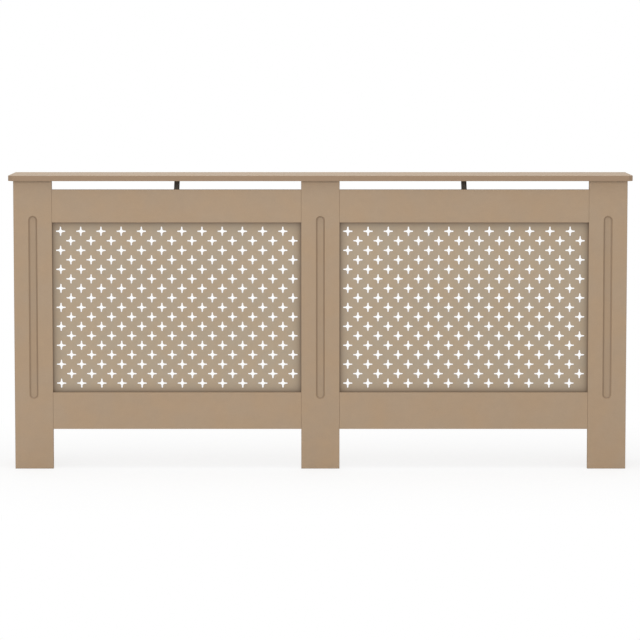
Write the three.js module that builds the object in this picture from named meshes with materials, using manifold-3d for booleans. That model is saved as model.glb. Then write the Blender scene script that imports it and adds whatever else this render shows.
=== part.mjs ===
// A radiator cover cabinet in bare MDF, in millimetres.
// A fluted front frame holds two star-pierced grilles. Side panels stand behind its outer stiles,
// and a top board with clipped front corners rests on the stiles and sides. The back and bottom are open.
// +X runs to the right along the front, +Y runs back to the wall and +Z up.
// The origin is on the floor, under the middle of the top board.

import * as THREE from "three";
import { mergeVertices } from "three/addons/utils/BufferGeometryUtils.js";
import Module from "manifold-3d";

// ---------------------------------------------------------------- driving dimensions

// The whole cabinet.
const cabinetWidth = 1720;
const cabinetDepth = 190;
const cabinetHeight = 815;

// The clearance left wherever two pieces meet.
const fitGap = 0.3;

// The top board.
const topThickness = 15;
const topOverhang = 13.5; // past the frame, at the front and at both ends
const topCornerClip = 12; // taken off each side of a front corner

// The front frame: three stiles, with a top and a bottom rail between each pair.
const frameThickness = 12;
const stileWidth = 106;
const legHeight = 111; // floor to the bottom rails
const bottomRailHeight = 102;
const topRailHeight = 91;
const ventHeight = 24; // from the top rails to the top board

// The round-ended cove cut down the front of each stile.
const fluteWidth = 24;
const fluteDepth = 4.5;
const fluteOverrun = 18; // past the grille opening, above and below it
const fluteFacets = 3; // across half of the cove
const fluteEndFacets = 12; // round a whole circle

// The grilles, each in a rebate cut round the back of its opening.
const grilleThickness = 4;
const rebateWidth = 8;
const starPitchX = 55.8;
const starPitchZ = 26.4;
const starTipRadius = 13.2;
const starWaistRadius = 5.2; // at the inner corners between two arms
const starMargin = 20; // least distance from a star's centre to the edge of the opening

// The dowels that join the rails to the stiles.
const dowelDiameter = 6;
const dowelLength = 30;
const dowelInset = 22; // from a rail's edge to the dowel's axis

// The side panels, notched at the foot to pass a skirting board.
const sideThickness = 12;
const skirtingHeight = 110;
const skirtingDepth = 20;

// Cam locks in the side panels. Each draws in a bolt that is screwed into the next board.
const camDiameter = 15;
const camSetback = 24; // from the panel's edge to the cam's axis
const camFloor = 3; // board left under a cam
const camSkin = 1.5; // metal left over a cam's slot
const frontCamInset = 120; // from the ends of the panel's front edge
const topCamInset = 40; // from the ends of the panel's top edge
const boltDiameter = 5;
const boltNeckDiameter = 4;

// The flat steel braces behind the top rails, which carry the top board in the middle of each bay.
const braceWidth = 15;
const braceThickness = 2;
const braceLean = 43; // degrees from upright
const braceRailFoot = 32;
const braceBoardFoot = 30;
const braceBendDrop = 4; // from the rail's top edge down to the bend

// The angle brackets that fix the cabinet to the wall.
const bracketLeg = 30;
const bracketHeight = 44;
const bracketThickness = 2;
const bracketDrop = 45; // from the top board's underside
const bracketHoleInset = 11; // from a bracket's ends to its holes
const wallHoleDiameter = 5;

// The pan-head screws in the braces and brackets.
const screwDiameter = 3.5;
const screwHeadDiameter = 7.5;
const screwHeadHeight = 2.2;
const screwPointLength = 2;
const fastenerCover = 4; // board left beyond the tip of a screw or bolt

// Facets round the dowels, screws, bolts and their bores, and round the cams.
const roundSides = 6;
const camSides = 10;

// ---------------------------------------------------------------- derived sizes and places

const cabinetFront = -cabinetDepth / 2;
const cabinetBack = cabinetDepth / 2;
const frameFront = cabinetFront + topOverhang;
const frameBack = frameFront + frameThickness;
const frameWidth = cabinetWidth - 2 * topOverhang;
const boardUnderside = cabinetHeight - topThickness;
const uprightHeight = boardUnderside - fitGap;

const bayWidth = (frameWidth - 3 * stileWidth) / 2;
const bayCentre = (stileWidth + bayWidth) / 2;
const railLength = bayWidth - 2 * fitGap;
const outerStileCentre = (frameWidth - stileWidth) / 2;
const openingBottom = legHeight + bottomRailHeight;
const openingTop = boardUnderside - ventHeight - topRailHeight;
const openingHeight = openingTop - openingBottom;
const rebateFloor = frameThickness - grilleThickness - fitGap;
const dowelAxisDepth = frameThickness / 2;
const dowelReach = (dowelLength - fitGap) / 2; // into the rail, and as far into the stile

const sideCentre = (frameWidth - sideThickness) / 2;
const sideInnerFace = frameWidth / 2 - sideThickness;
const sideFront = frameBack + fitGap;
const sideDepth = cabinetBack - sideFront;
const camDepth = sideThickness - camFloor;
const frontCamHeights = [frontCamInset, uprightHeight - frontCamInset];

const frameBite = frameThickness - fastenerCover;
const sideBite = sideThickness - fastenerCover;
const topBite = topThickness - fastenerCover;

const cutterLead = 1; // how far a cutter stands out of the face that it opens

// The rails, each with the height of its lower edge and of its dowels above that edge.
const rails = [
  { name: "bottom_rail", foot: legHeight, height: bottomRailHeight, holdsBrace: false },
  { name: "top_rail", foot: openingTop, height: topRailHeight, holdsBrace: true },
];
for (const rail of rails) {
  rail.dowelRises = [dowelInset, rail.height - dowelInset];
}

const bothSides = [-1, 1];
const sideName = (side) => (side < 0 ? "left" : "right");

const toRight = new THREE.Vector3(1, 0, 0);
const toLeft = new THREE.Vector3(-1, 0, 0);
const toBack = new THREE.Vector3(0, 1, 0);
const toFront = new THREE.Vector3(0, -1, 0);
const up = new THREE.Vector3(0, 0, 1);
const down = new THREE.Vector3(0, 0, -1);
const outward = (side) => (side < 0 ? toLeft : toRight);
const inward = (side) => (side < 0 ? toRight : toLeft);

// ---------------------------------------------------------------- solids

const wasm = await Module();
wasm.setup();

// A closed geometry as a solid that can be joined or cut.
function solidOf(geometry) {
  const bare = geometry.clone();
  bare.deleteAttribute("normal");
  bare.deleteAttribute("uv");
  const merged = mergeVertices(bare, 1e-4);
  return new wasm.Manifold(
    new wasm.Mesh({
      numProp: 3,
      vertProperties: merged.attributes.position.array,
      triVerts: new Uint32Array(merged.index.array),
    }),
  );
}

// A solid back as a geometry with flat faces.
function geometryOf(solid) {
  const mesh = solid.getMesh();
  const indexed = new THREE.BufferGeometry();
  indexed.setAttribute("position", new THREE.BufferAttribute(mesh.vertProperties, 3));
  indexed.setIndex(new THREE.BufferAttribute(mesh.triVerts, 1));
  const flat = indexed.toNonIndexed();
  flat.computeVertexNormals();
  return flat;
}

// A body less all of the cutters.
function cut(body, cutters) {
  const start = solidOf(body);
  const left = cutters.reduce((solid, cutter) => solid.subtract(solidOf(cutter)), start);
  return geometryOf(left);
}

// A box from its extent along each axis.
function box([x0, x1], [y0, y1], [z0, z1]) {
  const geometry = new THREE.BoxGeometry(x1 - x0, y1 - y0, z1 - z0);
  return geometry.translate((x0 + x1) / 2, (y0 + y1) / 2, (z0 + z1) / 2);
}

function polygon(points) {
  return new THREE.Shape(points.map(([u, v]) => new THREE.Vector2(u, v)));
}

// Shapes drawn in X and Z, as seen from the front, extruded forward from Y = 0.
function extrudedForward(shapes, thickness) {
  const geometry = new THREE.ExtrudeGeometry(shapes, { depth: thickness, bevelEnabled: false });
  return geometry.rotateX(Math.PI / 2);
}

// A shape drawn in X and Y, as seen from above, extruded up from Z = 0.
function extrudedUp(shape, height) {
  return new THREE.ExtrudeGeometry(shape, { depth: height, bevelEnabled: false });
}

// A shape drawn in Y and Z, as seen from the right, extruded across a width centred on X = 0.
function extrudedAcross(shape, width) {
  const geometry = new THREE.ExtrudeGeometry(shape, { depth: width, bevelEnabled: false });
  geometry.translate(0, 0, -width / 2);
  return geometry.applyMatrix4(new THREE.Matrix4().makeBasis(toBack, up, toRight));
}

// A piece revolved about Y, from its [radius, distance along Y] pairs in upward order.
function turned(profile, sides = roundSides) {
  const points = profile.map(([radius, along]) => new THREE.Vector2(radius, along));
  return new THREE.LatheGeometry(points, sides);
}

// Turns a piece made along +Y so that it points along a direction.
function aimed(geometry, direction) {
  return geometry.applyQuaternion(new THREE.Quaternion().setFromUnitVectors(toBack, direction));
}

// A cutter for a round bore that runs from its mouth along a direction.
function bore(diameter, depth, direction, mouth, sides = roundSides) {
  const length = depth + cutterLead;
  const rod = new THREE.CylinderGeometry(diameter / 2, diameter / 2, length, sides);
  rod.translate(0, length / 2 - cutterLead, 0);
  return aimed(rod, direction).translate(...mouth);
}

// The bore that seats a round piece of that diameter and length with the clearance all round.
function seatFor(diameter, length, direction, mouth, sides = roundSides) {
  return bore(diameter + 2 * fitGap, length + fitGap, direction, mouth, sides);
}

// ---------------------------------------------------------------- finishes and placing

const bareMdf = { color: 0xa89279, roughness: 0.85, metalness: 0 };
const grilleBoard = { color: 0xac9b87, roughness: 0.8, metalness: 0 };
const blackSteel = { color: 0x2b2927, roughness: 0.5, metalness: 0.6 };
const zinc = { color: 0xb4b6b8, roughness: 0.35, metalness: 0.9 };
const beech = { color: 0xc9a574, roughness: 0.75, metalness: 0 };

function place(group, name, geometry, finish, position) {
  const piece = new THREE.Mesh(geometry, new THREE.MeshStandardMaterial(finish));
  piece.name = name;
  piece.position.set(...position);
  group.add(piece);
}

function groupAt(parent, x, y, z) {
  const group = new THREE.Group();
  group.position.set(x, y, z);
  parent.add(group);
  return group;
}

const cabinet = new THREE.Group();

// ---------------------------------------------------------------- stiles

// The cutter of the cove: a trough of circular section between two domes of the same profile.
function fluteCutter(bottom, top) {
  const half = fluteWidth / 2;
  const radius = (half ** 2 + fluteDepth ** 2) / (2 * fluteDepth);
  const sweep = Math.asin(half / radius);
  const rimToBottom = [];
  for (let k = fluteFacets; k >= 0; k -= 1) {
    const angle = (sweep * k) / fluteFacets;
    rimToBottom.push([radius * Math.sin(angle), fluteDepth - radius * (1 - Math.cos(angle))]);
  }
  const bottomToRim = rimToBottom.slice(0, -1).reverse();
  const section = [
    [half, -cutterLead],
    ...rimToBottom,
    ...bottomToRim.map(([x, y]) => [-x, y]),
    [-half, -cutterLead],
  ];
  const trough = extrudedUp(polygon(section), top - bottom - fluteWidth);
  const dome = turned([[0, -cutterLead], [half, -cutterLead], ...rimToBottom], fluteEndFacets);
  const ends = [bottom + half, top - half].map((z) => solidOf(dome.clone().translate(0, 0, z)));
  const cove = solidOf(trough.translate(0, 0, bottom + half));
  return geometryOf(cove.add(ends[0]).add(ends[1]));
}

// An upright, from the middle of its foot, in its front face. Each edge that faces a bay has a
// rebate and the dowel bores. The back of an outer stile takes the bolts of its side panel.
function stileGeometry(baySides, panelSide) {
  const half = stileWidth / 2;
  const body = box([-half, half], [0, frameThickness], [0, uprightHeight]);
  const cutters = [fluteCutter(openingBottom - fluteOverrun, openingTop + fluteOverrun)];
  for (const side of baySides) {
    const edge = [side * (half - rebateWidth), side * (half + cutterLead)].sort((a, b) => a - b);
    const depth = [rebateFloor, frameThickness + cutterLead];
    cutters.push(box(edge, depth, [openingBottom - rebateWidth, openingTop + rebateWidth]));
    for (const rail of rails) {
      for (const rise of rail.dowelRises) {
        const mouth = [side * half, dowelAxisDepth, rail.foot + rise];
        cutters.push(seatFor(dowelDiameter, dowelReach, inward(side), mouth));
      }
    }
  }
  if (panelSide !== 0) {
    for (const height of frontCamHeights) {
      const mouth = [panelSide * (half - sideThickness / 2), frameThickness, height];
      cutters.push(seatFor(boltDiameter, frameBite, toFront, mouth));
    }
  }
  return cut(body, cutters);
}


// The frame's group has its origin on the floor, in the middle of the frame's front face.
const frame = groupAt(cabinet, 0, frameFront, 0);
place(frame, "left_stile", stileGeometry([1], -1), bareMdf, [-outerStileCentre, 0, 0]);
place(frame, "centre_stile", stileGeometry(bothSides, 0), bareMdf, [0, 0, 0]);
place(frame, "right_stile", stileGeometry([-1], 1), bareMdf, [outerStileCentre, 0, 0]);

// ---------------------------------------------------------------- rails and dowels

// The height of the brace's screw above a top rail's lower edge.
const braceScrewRise = topRailHeight - braceBendDrop - braceRailFoot / 2;

// A rail, from the middle of its lower edge, in its front face. The rebate runs along the edge
// that faces the opening: the upper one of a bottom rail and the lower one of a top rail.
function railGeometry(rail) {
  const half = railLength / 2;
  const body = box([-half, half], [0, frameThickness], [0, rail.height]);
  const openingAbove = rail.foot < openingBottom;
  const rebate = openingAbove
    ? [rail.height - rebateWidth, rail.height + cutterLead]
    : [-cutterLead, rebateWidth];
  const length = [-half - cutterLead, half + cutterLead];
  const cutters = [box(length, [rebateFloor, frameThickness + cutterLead], rebate)];
  for (const end of bothSides) {
    for (const rise of rail.dowelRises) {
      const mouth = [end * half, dowelAxisDepth, rise];
      cutters.push(seatFor(dowelDiameter, dowelReach, inward(end), mouth));
    }
  }
  if (rail.holdsBrace) {
    const mouth = [0, frameThickness, braceScrewRise];
    cutters.push(seatFor(screwDiameter, frameBite, toFront, mouth));
  }
  return cut(body, cutters);
}

// A dowel lying along X, from its middle.
function dowelGeometry() {
  const radius = dowelDiameter / 2;
  return aimed(new THREE.CylinderGeometry(radius, radius, dowelLength, roundSides), toRight);
}

for (const bay of bothSides) {
  for (const rail of rails) {
    const name = `${sideName(bay)}_${rail.name}`;
    place(frame, name, railGeometry(rail), bareMdf, [bay * bayCentre, 0, rail.foot]);
    for (const end of bothSides) {
      const seam = bay * bayCentre + (end * (bayWidth - fitGap)) / 2;
      for (const [level, rise] of rail.dowelRises.entries()) {
        const dowelName = `${name}_${sideName(end)}_dowel_${level + 1}`;
        place(frame, dowelName, dowelGeometry(), beech, [seam, dowelAxisDepth, rail.foot + rise]);
      }
    }
  }
}

// ---------------------------------------------------------------- grilles

// A star with four arms, which point along X and Z.
function starShape([x, z]) {
  const corners = [];
  for (let k = 0; k < 8; k += 1) {
    const reach = k % 2 === 0 ? starTipRadius : starWaistRadius;
    const angle = (k * Math.PI) / 4;
    corners.push(new THREE.Vector2(x + reach * Math.cos(angle), z + reach * Math.sin(angle)));
  }
  return new THREE.Shape(corners);
}

// The stars' centres, in rows from the top down. Each row is half a pitch off the one above it,
// and the pattern as a whole is centred in the opening.
function starCentres() {
  const rows = Math.floor((openingHeight - 2 * starMargin) / starPitchZ) + 1;
  const perRow = Math.floor((bayWidth - 2 * starMargin) / starPitchX + 0.5);
  const centres = [];
  for (let row = 0; row < rows; row += 1) {
    const stagger = ((row % 2 === 0 ? -1 : 1) * starPitchX) / 4;
    const z = ((rows - 1) / 2 - row) * starPitchZ;
    for (let column = 0; column < perRow; column += 1) {
      centres.push([(column - (perRow - 1) / 2) * starPitchX + stagger, z]);
    }
  }
  return centres;
}

// A pierced panel, from the middle of its back face.
function grilleGeometry() {
  const x = bayWidth / 2 + rebateWidth - fitGap;
  const z = openingHeight / 2 + rebateWidth - fitGap;
  const panel = box([-x, x], [-grilleThickness, 0], [-z, z]);
  const stars = extrudedForward(starCentres().map(starShape), grilleThickness + 2 * cutterLead);
  return cut(panel, [stars.translate(0, cutterLead, 0)]);
}

for (const bay of bothSides) {
  const middle = [bay * bayCentre, frameThickness, (openingBottom + openingTop) / 2];
  place(frame, `${sideName(bay)}_grille`, grilleGeometry(), grilleBoard, middle);
}

// ---------------------------------------------------------------- wall brackets

const bracketFoot = boardUnderside - bracketDrop - bracketHeight;
const bracketHoleRises = [bracketHoleInset, bracketHeight - bracketHoleInset];
const bracketScrewSetback = bracketLeg / 2; // from the cabinet's back

// An angle, from the corner where its two outer faces meet, at its lower end. One leg lies on the
// side panel and the other in the plane of the wall.
function bracketGeometry(side) {
  const leg = bracketLeg;
  const wall = bracketThickness;
  const plan = [[0, 0], [0, -leg], [wall, -leg], [wall, -wall], [leg, -wall], [leg, 0]];
  const body = extrudedUp(polygon(plan.map(([x, y]) => [-side * x, y])), bracketHeight);
  const cutters = [];
  for (const rise of bracketHoleRises) {
    const through = wall + cutterLead;
    const sideHole = [-side * wall, -bracketScrewSetback, rise];
    const wallHole = [(-side * (leg + wall)) / 2, -wall, rise];
    cutters.push(bore(screwDiameter + 2 * fitGap, through, outward(side), sideHole));
    cutters.push(bore(wallHoleDiameter, through, toBack, wallHole));
  }
  return cut(body, cutters);
}

// A pan-head screw, from the underside of its head: the head lies towards -Y and the shank
// towards +Y, through a strap or leg and into a board.
function screwGeometry(metalThickness, bite) {
  const length = metalThickness + 2 * fitGap + bite;
  const shank = screwDiameter / 2;
  const head = screwHeadDiameter / 2;
  return turned([
    [0, -screwHeadHeight],
    [head, -screwHeadHeight],
    [head, 0],
    [shank, 0],
    [shank, length - screwPointLength],
    [0, length],
  ]);
}

for (const side of bothSides) {
  const legFace = side * (sideInnerFace - fitGap);
  const bracket = groupAt(cabinet, legFace, cabinetBack, bracketFoot);
  const name = `${sideName(side)}_wall_bracket`;
  place(bracket, name, bracketGeometry(side), zinc, [0, 0, 0]);
  for (const [level, rise] of bracketHoleRises.entries()) {
    const screw = aimed(screwGeometry(bracketThickness, sideBite), outward(side));
    const head = [-side * (bracketThickness + fitGap), -bracketScrewSetback, rise];
    place(bracket, `${name}_screw_${level + 1}`, screw, zinc, head);
  }
}

// ---------------------------------------------------------------- side panels and cam locks

// The cam joints of a side panel, in its own Y and Z: the mouth of the bolt's bore in the edge,
// the way that the bolt runs from there into the panel, and the thread's bite in the next board.
const camJoints = [];
for (const [level, height] of frontCamHeights.entries()) {
  const joint = { name: `front_cam_${level + 1}`, mouth: [0, height], into: toBack };
  camJoints.push({ ...joint, bite: frameBite });
}
for (const [level, y] of [topCamInset, sideDepth - topCamInset].entries()) {
  const joint = { name: `top_cam_${level + 1}`, mouth: [y, uprightHeight], into: down };
  camJoints.push({ ...joint, bite: topBite });
}
for (const joint of camJoints) {
  joint.entry = new THREE.Vector3(0, ...joint.mouth);
  joint.outOf = joint.into.clone().negate();
  joint.axis = joint.entry.clone().addScaledVector(joint.into, camSetback);
}

// A side panel, from the foot of its front edge, in the middle of its thickness.
function sideGeometry(side) {
  const notchFront = sideDepth - skirtingDepth;
  const outline = [
    [0, 0],
    [notchFront, 0],
    [notchFront, skirtingHeight],
    [sideDepth, skirtingHeight],
    [sideDepth, uprightHeight],
    [0, uprightHeight],
  ];
  const innerFace = (-side * sideThickness) / 2;
  const cutters = [];
  for (const joint of camJoints) {
    const pocket = [innerFace, joint.axis.y, joint.axis.z];
    cutters.push(seatFor(camDiameter, camDepth, outward(side), pocket, camSides));
    cutters.push(seatFor(boltNeckDiameter, camSetback, joint.into, joint.entry.toArray()));
  }
  for (const rise of bracketHoleRises) {
    const mouth = [innerFace, sideDepth - bracketScrewSetback, bracketFoot + rise];
    cutters.push(seatFor(screwDiameter, sideBite, outward(side), mouth));
  }
  return cut(extrudedAcross(polygon(outline), sideThickness), cutters);
}

// A cam, from the middle of the face that shows, with the slot that lets in the bolt's neck.
function camGeometry(side, joint) {
  const radius = camDiameter / 2;
  const disc = new THREE.CylinderGeometry(radius, radius, camDepth, camSides);
  disc.translate(0, camDepth / 2, 0);
  const half = boltNeckDiameter / 2 + fitGap;
  const slot = box([-half, half], [-half, radius + cutterLead], [0, camDepth - camSkin + cutterLead]);
  const deep = outward(side);
  const across = new THREE.Vector3().crossVectors(joint.outOf, deep);
  slot.applyMatrix4(new THREE.Matrix4().makeBasis(across, joint.outOf, deep));
  slot.translate(side * camSkin, 0, 0);
  return cut(aimed(disc, deep), [slot]);
}

// A cam bolt, from its shoulder: the neck runs towards -Y and the thread towards +Y.
function boltGeometry(bite) {
  const neck = boltNeckDiameter / 2;
  const thread = boltDiameter / 2;
  return turned([
    [0, -camSetback],
    [neck, -camSetback],
    [neck, 0],
    [thread, 0],
    [thread, bite],
    [0, bite],
  ]);
}

for (const side of bothSides) {
  const panel = groupAt(cabinet, side * sideCentre, sideFront, 0);
  place(panel, `${sideName(side)}_side_panel`, sideGeometry(side), bareMdf, [0, 0, 0]);
  for (const joint of camJoints) {
    const name = `${sideName(side)}_${joint.name}`;
    const face = [(-side * sideThickness) / 2, joint.axis.y, joint.axis.z];
    place(panel, name, camGeometry(side, joint), zinc, face);
    const shoulder = joint.entry.clone().addScaledVector(joint.outOf, fitGap);
    const bolt = aimed(boltGeometry(joint.bite), joint.outOf);
    place(panel, `${name}_bolt`, bolt, zinc, shoulder.toArray());
  }
}

// ---------------------------------------------------------------- braces

// The outline of a strap bent along a centreline, with mitred corners.
function strapOutline(centreline, thickness) {
  const points = centreline.map(([u, v]) => new THREE.Vector2(u, v));
  const runs = points.slice(1).map((point, k) => point.clone().sub(points[k]).normalize());
  const normals = runs.map((run) => new THREE.Vector2(-run.y, run.x));
  const edge = (side) =>
    points.map((point, k) => {
      const before = normals[Math.max(k - 1, 0)];
      const after = normals[Math.min(k, normals.length - 1)];
      const mitre = before.clone().add(after).normalize();
      const reach = (side * thickness) / 2 / mitre.dot(before);
      return point.clone().addScaledVector(mitre, reach).toArray();
    });
  return [...edge(1), ...edge(-1).reverse()];
}

// The strap's centreline in Y and Z, from the corner where the rail's back meets the plane of the
// board's underside.
const braceRun = {
  railFootY: fitGap + braceThickness / 2,
  lowerBendZ: -ventHeight - braceBendDrop,
  boardFootZ: -fitGap - braceThickness / 2,
};
const braceRise = braceRun.boardFootZ - braceRun.lowerBendZ;
const upperBendY = braceRun.railFootY + braceRise * Math.tan(THREE.MathUtils.degToRad(braceLean));
const braceBoardScrewY = upperBendY + braceBoardFoot / 2;
const braceRailScrewZ = braceRun.lowerBendZ - braceRailFoot / 2;

function braceGeometry() {
  const { railFootY, lowerBendZ, boardFootZ } = braceRun;
  const centreline = [
    [railFootY, lowerBendZ - braceRailFoot],
    [railFootY, lowerBendZ],
    [upperBendY, boardFootZ],
    [upperBendY + braceBoardFoot, boardFootZ],
  ];
  const strap = polygon(strapOutline(centreline, braceThickness));
  const hole = screwDiameter + 2 * fitGap;
  const outerFace = fitGap + braceThickness;
  const through = outerFace + cutterLead;
  return cut(extrudedAcross(strap, braceWidth), [
    bore(hole, through, toFront, [0, outerFace, braceRailScrewZ]),
    bore(hole, through, up, [0, braceBoardScrewY, -outerFace]),
  ]);
}

for (const bay of bothSides) {
  const corner = groupAt(cabinet, bay * bayCentre, frameBack, boardUnderside);
  const name = `${sideName(bay)}_brace`;
  const headSeat = 2 * fitGap + braceThickness;
  const railScrew = aimed(screwGeometry(braceThickness, frameBite), toFront);
  const boardScrew = aimed(screwGeometry(braceThickness, topBite), up);
  place(corner, name, braceGeometry(), blackSteel, [0, 0, 0]);
  place(corner, `${name}_rail_screw`, railScrew, blackSteel, [0, headSeat, braceRailScrewZ]);
  place(corner, `${name}_board_screw`, boardScrew, blackSteel, [0, braceBoardScrewY, -headSeat]);
}

// ---------------------------------------------------------------- top board

// The board, from the middle of its underside, with blind bores for bolts and brace screws.
function topBoardGeometry() {
  const x = cabinetWidth / 2;
  const outline = [
    [-x, cabinetBack],
    [-x, cabinetFront + topCornerClip],
    [-x + topCornerClip, cabinetFront],
    [x - topCornerClip, cabinetFront],
    [x, cabinetFront + topCornerClip],
    [x, cabinetBack],
  ];
  const cutters = [];
  for (const side of bothSides) {
    const screw = [side * bayCentre, frameBack + braceBoardScrewY, 0];
    cutters.push(seatFor(screwDiameter, topBite, up, screw));
    for (const joint of camJoints.filter(({ into }) => into === down)) {
      const bolt = [side * sideCentre, sideFront + joint.entry.y, 0];
      cutters.push(seatFor(boltDiameter, topBite, up, bolt));
    }
  }
  return cut(extrudedUp(polygon(outline), topThickness), cutters);
}

place(cabinet, "top_board", topBoardGeometry(), bareMdf, [0, 0, boardUnderside]);

export default cabinet;
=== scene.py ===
"""A wide radiator cover of bare MDF: shelf, fluted frame, star grilles, ends and fittings."""
import math

import bmesh
import bpy
from mathutils import Matrix, Vector


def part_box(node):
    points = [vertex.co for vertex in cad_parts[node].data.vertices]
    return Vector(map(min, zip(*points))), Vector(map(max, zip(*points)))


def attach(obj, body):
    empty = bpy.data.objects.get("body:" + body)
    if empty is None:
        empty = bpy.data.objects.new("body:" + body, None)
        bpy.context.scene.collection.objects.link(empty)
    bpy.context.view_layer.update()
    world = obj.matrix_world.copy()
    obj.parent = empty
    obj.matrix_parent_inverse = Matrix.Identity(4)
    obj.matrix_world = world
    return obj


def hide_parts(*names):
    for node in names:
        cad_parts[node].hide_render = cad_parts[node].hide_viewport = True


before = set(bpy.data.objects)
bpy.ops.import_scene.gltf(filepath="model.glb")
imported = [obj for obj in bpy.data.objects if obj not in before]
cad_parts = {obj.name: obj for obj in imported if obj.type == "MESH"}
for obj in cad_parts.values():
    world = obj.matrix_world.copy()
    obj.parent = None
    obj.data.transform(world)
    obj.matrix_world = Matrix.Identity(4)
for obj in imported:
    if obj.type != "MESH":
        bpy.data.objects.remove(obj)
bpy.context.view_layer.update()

# ------------------------------------------------------------------ sizes, in metres

MM = 0.001
SAME_PLACE = 1e-7           # points closer together than this are one
UP, BACK, RIGHT = Vector((0, 0, 1)), Vector((0, 1, 0)), Vector((1, 0, 0))
SIDES = (("left", -1), ("right", 1))  # each side's name, and its way outwards along X

FRAME_FRONT, FRAME_BACK = (corner.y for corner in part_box("centre_stile"))
SHELF_UNDERSIDE, SHELF_TOP = (corner.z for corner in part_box("top_board"))
OPENING_BOTTOM, OPENING_TOP = 213 * MM, 685 * MM
OPENING_MIDDLE = (OPENING_BOTTOM + OPENING_TOP) / 2
REBATE_WIDTH, REBATE_DEPTH = 8 * MM, 4.3 * MM
ARRIS, ARRIS_STEPS = 0.8 * MM, 3  # rounding of the boards' sanded edges
ARRIS_LEAST_ANGLE = math.radians(50)
FLAT_ANGLE = math.radians(1)  # faces that meet at less than this are one
FACE_NORMAL = 0.7           # a board's face points along its thickness by at least this share
JOINT = 0.3 * MM            # the gap between solids whose real boards are glued together

FLUTE_WIDTH, FLUTE_DEPTH, FLUTE_OVERRUN = 24 * MM, 4.5 * MM, 18 * MM
FLUTE_SEGMENTS, FLUTE_STEPS = 48, 9
FLUTE_LIP, FLUTE_LIP_STEPS = 0.6 * MM, 3  # radius of the sanded rim
FLUTE_LIP_ANGLE = math.radians(55)
FLUTE_START = math.radians(20)  # where on its quarter ellipse the wall leaves the rim
FLUTE_FLOOR = 5.5 * MM      # half width of the flat floor between the round walls

STAR_PITCH_X, STAR_PITCH_Z = 55.8 * MM, 26.4 * MM
STAR_ROWS, STARS_PER_ROW = 17, 12
STAR_REACH, STAR_TIP, STAR_WAIST = 13.0 * MM, 1.66 * MM, 2.55 * MM
STAR_TIP_ROUNDING, STAR_TIP_STEPS = 1.55 * MM, 2
STAR_WAIST_ROUNDING, STAR_WAIST_STEPS = 4.1 * MM, 4

CORNER_CLIP, CORNER_ROUNDING = 12 * MM, 0.8 * MM  # of the shelf's front corners
SKIRTING_HEIGHT, SKIRTING_DEPTH = 110 * MM, 20 * MM

CAMS = ("front_cam_1", "front_cam_2", "top_cam_1", "top_cam_2")
CAM_RADIUS, CAM_CHAMFER, CAM_SEGMENTS = 7.45 * MM, 0.6 * MM, 32
POCKET_RADIUS = 7.6 * MM
CAM_CROSS_REACH, CAM_CROSS_DEPTH = 4.6 * MM, 3 * MM

SCREW_HEAD = 2.2 * MM       # height of the pan head above its seat
SCREW_HEAD_PROFILE = (      # radii and heights in millimetres, from the flat top down
    (2.35, 2.2), (2.9, 2.02), (3.4, 1.6), (3.68, 1.0), (3.75, 0.25), (3.6, 0),
)
SCREW_SHANK, SCREW_POINT, SCREW_SEGMENTS = 1.72 * MM, 2 * MM, 24
SCREW_CROSS_REACH, SCREW_CROSS_DEPTH = 1.95 * MM, 1.3 * MM
CROSS_ARM = 0.16            # half width of a driver cross's arm, as a share of its reach
CROSS_TAPER = 0.62          # size of the cross's floor, as a share of its mouth

PLATE = 2 * MM              # thickness of the bent steel
PLATE_ARRIS, PLATE_CORNER_STEPS, BEND_STEPS = 0.25 * MM, 5, 6
STRAP_FOOT, STRAP_HEAD = 32 * MM, 30 * MM  # the legs on the rail and under the shelf
STRAP_LEAN, STRAP_BEND, STRAP_CORNER = math.radians(43), 3 * MM, 3 * MM
BRACKET_BEND, BRACKET_CORNER = 2.2 * MM, 2 * MM
BRACKET_HOLE, BRACKET_HOLE_INSET, BRACKET_HOLE_SEGMENTS = 2.5 * MM, 11 * MM, 24
SHARP_ANGLE = math.radians(32)  # a fitting's edges that turn more than this stay crisp
LARGEST_CURVED_FACE = 30 * MM ** 2  # a fitting's larger faces are planes

# ------------------------------------------------------------------ colours and light

WHITE = (1, 1, 1)
FACE_COLOUR = (0.370, 0.260, 0.164)
EDGE_COLOUR = (0.352, 0.242, 0.150)
STILE_TONE, RAIL_TONE = 1.0, 1.012
SHELF_COLOUR = (0.366, 0.266, 0.171)
SHELF_EDGE_COLOUR = (0.341, 0.233, 0.150)
STAR_WALL_COLOUR = (0.372, 0.288, 0.205)

# painted shade on the flute's steep walls and on its floor
FLUTE_WALL_SHADE, FLUTE_FLOOR_SHADE = 0.27, 0.04
SHELF_PAINTED_SHADE = 0.15           # painted shade on the uprights, from this far under the shelf
SHELF_SHADE_REACH, SHELF_SHADE_FADE = 6.5 * MM, 2.5 * MM

GRILLE_COLOUR = (0.389, 0.303, 0.210)
# painted shade on the grille's front, darkest next to the frame that stands proud of it
GRILLE_SHADE_COLOUR = (0.125, 0.080, 0.046)
GRILLE_SHADE, GRILLE_SHADE_REACH = 0.70, 10 * MM
GRILLE_FRONT_DEPTH = 0.5 * MM  # the painted shade is only on the front

ROOM_LEVEL = 0.72           # the light from all round, where 1 is the white behind the object
OVERHEAD_WATTS, FRONT_WATTS = 66, 44
FLOOR_HALF_WIDTH = 30
FLOOR_WHITENESS = 0.78      # of the floor near the feet, which leaves the shadow faint
SHADOW_HALF_LENGTH, SHADOW_REACH, SHADOW_FADE = 0.8, 0.12, 0.7  # where it turns pure white

CAMERA_PLACE, CAMERA_TILT = (0, -7.2, 1.2), math.radians(4.170)
CAMERA_LENS, CAMERA_SENSOR, CAMERA_FAR = 145.6, 36, 200
CAMERA_SHIFT = (-0.0006, -0.15)

# ------------------------------------------------------------------ shader maths


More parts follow.
